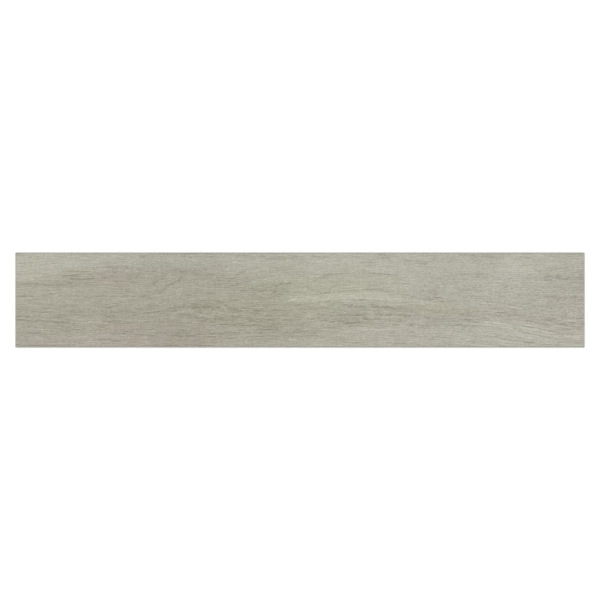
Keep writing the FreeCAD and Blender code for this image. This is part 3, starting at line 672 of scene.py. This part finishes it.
groups = [face_quads, rim_quads, cell_quads, cell_floors, net_triangles]
counts = np.concatenate([np.full(len(group), group.shape[1]) for group in groups])
corners = np.concatenate([group.ravel() for group in groups])
mesh = bpy.data.meshes.new(tile_name)
mesh.vertices.add(len(x))
mesh.vertices.foreach_set("co", np.stack([x, y, z], axis=1).ravel())
mesh.loops.add(len(corners))
mesh.loops.foreach_set("vertex_index", corners)
mesh.polygons.add(len(counts))
mesh.polygons.foreach_set("loop_start", np.concatenate([[0], np.cumsum(counts)[:-1]]))
mesh.update(calc_edges=True)
mesh.polygons.foreach_set("use_smooth", np.ones(len(counts), dtype=bool))
back_rings = 3
rim_kind = np.repeat(np.arange(len(ring_xy)) >= len(ring_xy) - back_rings, len(edge)).astype(int)
kind = np.concatenate([np.zeros(len(face_quads), int), rim_kind,
                       np.ones(len(cell_quads) + len(cell_floors) + len(net_triangles), int)])
mesh.polygons.foreach_set("material_index", kind)

# The print and the grooves go with the points, and the fibres follow a map of the grain.
mesh.attributes.new("figure", "FLOAT", "POINT").data.foreach_set("value", drawn + shading(x, v))
mesh.attributes.new("groove", "FLOAT", "POINT").data.foreach_set("value", depth * 1000)
mesh.attributes.new("stain", "FLOAT_COLOR", "POINT").data.foreach_set("color", stain(x, v, y).ravel())
grain_map = mesh.uv_layers.new(name="grain")
grain_map.uv.foreach_set("vector", np.stack([x, v], axis=1)[corners].ravel())
tile = bpy.data.objects.new(tile_name, mesh)
bpy.context.collection.objects.link(tile)


# THE FINISHES
# The face and its rounded edge carry a matt glaze over the print, which stops a little way down the walls in
# an uneven line above the bare fired body. The ribs of the back are white with kiln wash, a chalky coat that
# keeps the tile from sticking to the rollers.
def make(tree, kind, inputs, **settings):
    """One shader node of that kind, with its settings, and its outputs. Inputs go by name or number: a number
    or a colour is written into an input, and another node's output is linked to it."""
    node = tree.nodes.new("ShaderNode" + kind)
    for name, value in settings.items():
        setattr(node, name, value)
    for name, value in inputs.items():
        if isinstance(value, bpy.types.NodeSocket):
            tree.links.new(value, node.inputs[name])
        else:
            node.inputs[name].default_value = value
    return node.outputs


def reckon(tree, operation, *values, clamp=False):
    """A Math node: its operation on numbers or outputs."""
    return make(tree, "Math", dict(enumerate(values)), operation=operation, use_clamp=clamp)[0]


def between(tree, value, start, stop, low_value, high_value):
    """A Map Range node: low_value at start, high_value at stop, eased between and held outside."""
    inputs = {"Value": value, "From Min": start, "From Max": stop, "To Min": low_value, "To Max": high_value}
    return make(tree, "MapRange", inputs, interpolation_type="SMOOTHSTEP")["Result"]


def blend_colour(tree, factor, first, second, mode="MIX"):
    """A colour Mix node: the first colour, and the second laid over it by the factor."""
    return make(tree, "Mix", {0: factor, 6: first, 7: second}, data_type="RGBA", blend_type=mode)[2]


def noise(tree, place, scale, detail, roughness=0.5):
    """A Noise texture, of about so many marks to the metre."""
    inputs = {"Vector": place, "Scale": scale, "Detail": detail, "Roughness": roughness}
    return make(tree, "TexNoise", inputs)["Fac"]


def start_group(name, inputs, outputs):
    """A node group with its named sockets, and the nodes where they come in and go out."""
    group = bpy.data.node_groups.new(name, "ShaderNodeTree")
    for way, sockets in (("INPUT", inputs), ("OUTPUT", outputs)):
        for socket_name, kind in sockets.items():
            group.interface.new_socket(socket_name, in_out=way, socket_type="NodeSocket" + kind)
    return group, group.nodes.new("NodeGroupInput").outputs, group.nodes.new("NodeGroupOutput").inputs


# Drawn grain: noise pulled out along the fibres, by dividing the grain map by a mark's length and breadth.
drawn_grain, entry, leave = start_group(
    "Drawn grain",
    {"Along": "Vector", "Length": "Float", "Breadth": "Float", "Detail": "Float", "Start": "Float"},
    {"Value": "Float"})
along = make(drawn_grain, "SeparateXYZ", {0: entry["Along"]})
in_lengths = reckon(drawn_grain, "DIVIDE", along["X"], entry["Length"])
in_breadths = reckon(drawn_grain, "DIVIDE", along["Y"], entry["Breadth"])
pulled = make(drawn_grain, "CombineXYZ", {"X": in_lengths, "Y": in_breadths, "Z": entry["Start"]})[0]
drawn_grain.links.new(noise(drawn_grain, pulled, 1.0, entry["Detail"], 0.55), leave["Value"])

# Fired body: pale grey-beige porcelain with fine darker specks and a sandy surface, on walls and back alike.
fired_body, entry, leave = start_group(
    "Fired body", {"Place": "Vector"}, {"Color": "Color", "Roughness": "Float", "Height": "Float"})
cloud = noise(fired_body, entry["Place"], 60.0, 3.0)
sand = noise(fired_body, entry["Place"], 2600.0, 2.0)
specks = make(fired_body, "TexVoronoi", {"Vector": entry["Place"], "Scale": 420.0})["Distance"]
dark_clay = (0.440, 0.415, 0.360, 1)
pale_clay = (0.520, 0.490, 0.425, 1)
speck_brown = (0.300, 0.270, 0.220, 1)
cloudy = blend_colour(fired_body, between(fired_body, cloud, 0.3, 0.7, 0.0, 1.0), dark_clay, pale_clay)
speckled = between(fired_body, specks, 0.10, 0.22, 0.55, 0.0)
gritty = between(fired_body, sand, 0.3, 0.7, 0.74, 0.90)
fired_body.links.new(blend_colour(fired_body, speckled, cloudy, speck_brown), leave["Color"])
fired_body.links.new(gritty, leave["Roughness"])
fired_body.links.new(sand, leave["Height"])


def start_material(name):
    """A material, its node tree, its shader's inputs and the place of each point on the tile."""
    material = bpy.data.materials.new(name)
    material.use_nodes = True
    tree = material.node_tree
    return material, tree, tree.nodes["Principled BSDF"].inputs, make(tree, "TexCoord", {})["Object"]


def raise_surface(tree, shader, height, distance):
    """Bump for the shader: the height times the distance in metres."""
    bump = make(tree, "Bump", {"Strength": 1.0, "Distance": distance, "Height": height})
    tree.links.new(bump["Normal"], shader["Normal"])


# Printed glaze. The tone is counted in steps of grey, 70 of them from the darkest ink to the palest. It adds
# up the drawn figure, broad bands, thin hairs, short pores, fine threads, a faint mottle across the grain,
# combed lines 3.4 mm apart that come and go, and painted shade: a little more dark in the pressed grooves.
glaze, tree, shader, place = start_material("Printed matt glaze")
grain = make(tree, "UVMap", {}, uv_map="grain")["UV"]


def marks(long, broad, detail, start):
    """One reading of the drawn grain, for marks of that length and breadth in metres."""
    inputs = {"Along": grain, "Length": long, "Breadth": broad, "Detail": detail, "Start": start}
    return make(tree, "Group", inputs, node_tree=drawn_grain)["Value"]


def hairlines(long, broad, start, half_width, step):
    """Thin lines along the grain: the step where a reading passes through its middle value, fading to nothing
    the half width away from it, and broken up by a second reading, three times as broad."""
    off = reckon(tree, "ABSOLUTE", reckon(tree, "SUBTRACT", marks(long, broad, 0.0, start), 0.5))
    shown = between(tree, marks(long * 0.6, broad * 3, 0.0, start + 50), 0.42, 0.58, 0.0, 1.0)
    return reckon(tree, "MULTIPLY", between(tree, off, 0.0, half_width, step, 0.0), shown)


figure = make(tree, "Attribute", {}, attribute_name="figure")["Fac"]
groove = make(tree, "Attribute", {}, attribute_name="groove")["Fac"]
hue = make(tree, "Attribute", {}, attribute_name="stain")["Color"]
bands = between(tree, marks(0.080, 0.0044, 1.0, 3.1), 0.25, 0.75, -3.0, 3.0)
dark_hairs = hairlines(0.050, 0.0036, 9.4, 0.08, -10.0)
pale_hairs = hairlines(0.040, 0.0034, 5.6, 0.08, 8.0)
pores = between(tree, marks(0.013, 0.0010, 1.0, 5.7), 0.28, 0.50, -9.0, 1.2)
threads = between(tree, marks(0.0035, 0.0009, 1.0, 2.2), 0.25, 0.75, -14.0, 14.0)
mottle = between(tree, marks(0.0035, 0.018, 1.0, 7.9), 0.3, 0.7, -1.5, 1.5)
beside = make(tree, "SeparateXYZ", {0: grain})["Y"]
comb_pitch = 0.0034
wander = reckon(tree, "MULTIPLY", marks(0.024, 0.0070, 0.0, 8.8), 9.0)
turns = reckon(tree, "MULTIPLY_ADD", beside, 2 * math.pi / comb_pitch, wander)
shown = between(tree, marks(0.008, 0.0050, 0.0, 4.5), 0.38, 0.62, 0.0, 9.0)
combed = reckon(tree, "MULTIPLY", reckon(tree, "SINE", turns), shown)
# Painted shade: the tone is made darker where the pressed grooves are deeper.
painted_groove_shade = reckon(tree, "MULTIPLY_ADD", groove, -14.0, 1.6)
tone = figure
for layer in (bands, dark_hairs, pale_hairs, pores, threads, mottle, combed, painted_groove_shade):
    tone = reckon(tree, "ADD", tone, layer)
ink_steps = 70
ink = tree.nodes.new("ShaderNodeValToRGB")
dark_ink, pale_ink = ink.color_ramp.elements
dark_ink.color = (0.196, 0.184, 0.138, 1)
pale_ink.color = (0.505, 0.491, 0.415, 1)
ink.color_ramp.elements.new(0.5).color = (0.336, 0.323, 0.259, 1)
tree.links.new(reckon(tree, "MULTIPLY_ADD", tone, 1 / ink_steps, 0.5, clamp=True), ink.inputs["Fac"])
printed = blend_colour(tree, 1.0, ink.outputs["Color"], hue, mode="MULTIPLY")

# Painted shade: a darker grey is laid over the print on the rounded edge and along the two long sides, where
# the edge turns away from the light. The glaze ends 6.4 to 6.65 mm up the wall, give or take what the drip
# moves it by.
at = make(tree, "SeparateXYZ", {0: place})
edge_shade_grey = (0.262, 0.262, 0.226, 1)
shaded_rounding = between(tree, at["Z"], 0.00820, 0.00865, 0.20, 0.0)
shaded_long_sides = between(tree, reckon(tree, "ABSOLUTE", at["Y"]), 0.07280, 0.07380, 0.0, 0.75)
edge_shaded_print = blend_colour(tree, reckon(tree, "MAXIMUM", shaded_rounding, shaded_long_sides), printed, edge_shade_grey)
drip = reckon(tree, "MULTIPLY_ADD", noise(tree, place, 210.0, 2.0), 0.0016, -0.0008)
glazed = between(tree, reckon(tree, "ADD", at["Z"], drip), 0.00640, 0.00665, 0.0, 1.0)
body = make(tree, "Group", {"Place": place}, node_tree=fired_body)
tree.links.new(blend_colour(tree, glazed, body["Color"], edge_shaded_print), shader["Base Color"])

# The glaze is duller in the grooves, and rippled like orange peel; the bare body below it is sandy.
satin = between(tree, marks(0.020, 0.0030, 3.0, 6.6), 0.3, 0.7, 0.50, 0.62)
dull = reckon(tree, "MULTIPLY_ADD", groove, 0.35, satin)
smoother = reckon(tree, "MULTIPLY", reckon(tree, "SUBTRACT", body["Roughness"], dull), glazed)
tree.links.new(reckon(tree, "SUBTRACT", body["Roughness"], smoother), shader["Roughness"])
orange_peel = reckon(tree, "MULTIPLY", noise(tree, place, 900.0, 2.0), 0.25)
fine_marks = reckon(tree, "ADD", reckon(tree, "ADD", dark_hairs, pores), threads)
pressed = reckon(tree, "MULTIPLY_ADD", fine_marks, 0.020, orange_peel)
sandy = reckon(tree, "MULTIPLY", body["Height"], 0.9)
surface = reckon(tree, "ADD", reckon(tree, "MULTIPLY", pressed, glazed),
                 reckon(tree, "MULTIPLY", sandy, reckon(tree, "SUBTRACT", 1.0, glazed)))
raise_surface(tree, shader, surface, 0.00010)

# Washed back. The wash lies on the ribs and thins out down the cells' walls and over the foot, with bare
# patches where it was rubbed off.
washed, tree, shader, place = start_material("Fired back with kiln wash")
body = make(tree, "Group", {"Place": place}, node_tree=fired_body)
at = make(tree, "SeparateXYZ", {0: place})
on_rib = between(tree, at["Z"], 0.00005, 0.00045, 1.0, 0.0)
kept = between(tree, noise(tree, place, 95.0, 5.0, 0.65), 0.34, 0.52, 0.10, 0.90)
wash = reckon(tree, "MULTIPLY", on_rib, kept)
wash_white = (0.640, 0.625, 0.585, 1)
tree.links.new(blend_colour(tree, wash, body["Color"], wash_white), shader["Base Color"])
chalky = reckon(tree, "MULTIPLY", wash, 0.96)
tree.links.new(reckon(tree, "MAXIMUM", body["Roughness"], chalky), shader["Roughness"])
raise_surface(tree, shader, reckon(tree, "MULTIPLY_ADD", wash, 0.5, body["Height"]), 0.00014)

mesh.materials.append(glaze)
mesh.materials.append(washed)
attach(tile, "root")
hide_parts("plank_tile")


# THE STUDIO
# The tile lies on a plain white floor under soft light from nearly straight above. The camera looks straight
# down on it, as in a catalogue picture.
floor_half = 10
floor_level = -0.0001
floor_mesh = bpy.data.meshes.new("studio_floor")
floor_corners = [(-floor_half, -floor_half, floor_level), (floor_half, -floor_half, floor_level),
                 (floor_half, floor_half, floor_level), (-floor_half, floor_half, floor_level)]
floor_mesh.from_pydata(floor_corners, [], [(0, 1, 2, 3)])
floor = bpy.data.objects.new("studio_floor", floor_mesh)
bpy.context.collection.objects.link(floor)
paper, _, shader, _ = start_material("White paper")
shader["Base Color"].default_value = (0.93, 0.93, 0.93, 1)
shader["Roughness"].default_value = 0.95
shader["Specular IOR Level"].default_value = 0.0
floor_mesh.materials.append(paper)

world = bpy.data.worlds.new("Studio")
world.use_nodes = True
background = world.node_tree.nodes["Background"]
background.inputs["Color"].default_value = (1, 1, 1, 1)
background.inputs["Strength"].default_value = 0.48
bpy.context.scene.world = world
lamp = bpy.data.lights.new("soft_box", "SUN")
lamp.energy = 2.05
lamp.angle = math.radians(24)
soft_box = bpy.data.objects.new("soft_box", lamp)
soft_box.rotation_euler = (math.radians(-2), math.radians(-5), 0)
bpy.context.collection.objects.link(soft_box)

lens = bpy.data.cameras.new("catalogue_camera")
lens.lens = 85
lens.sensor_width = 36
lens.clip_start = 0.05
lens.clip_end = 100
camera = bpy.data.objects.new("catalogue_camera", lens)
tile_pixels = 569.5
picture_pixels = 600
picture_width = picture_pixels * length / tile_pixels
camera.location = (0, 0, thickness + picture_width * lens.lens / lens.sensor_width)
bpy.context.collection.objects.link(camera)
bpy.context.scene.camera = camera
bpy.context.scene.view_settings.view_transform = "Standard"
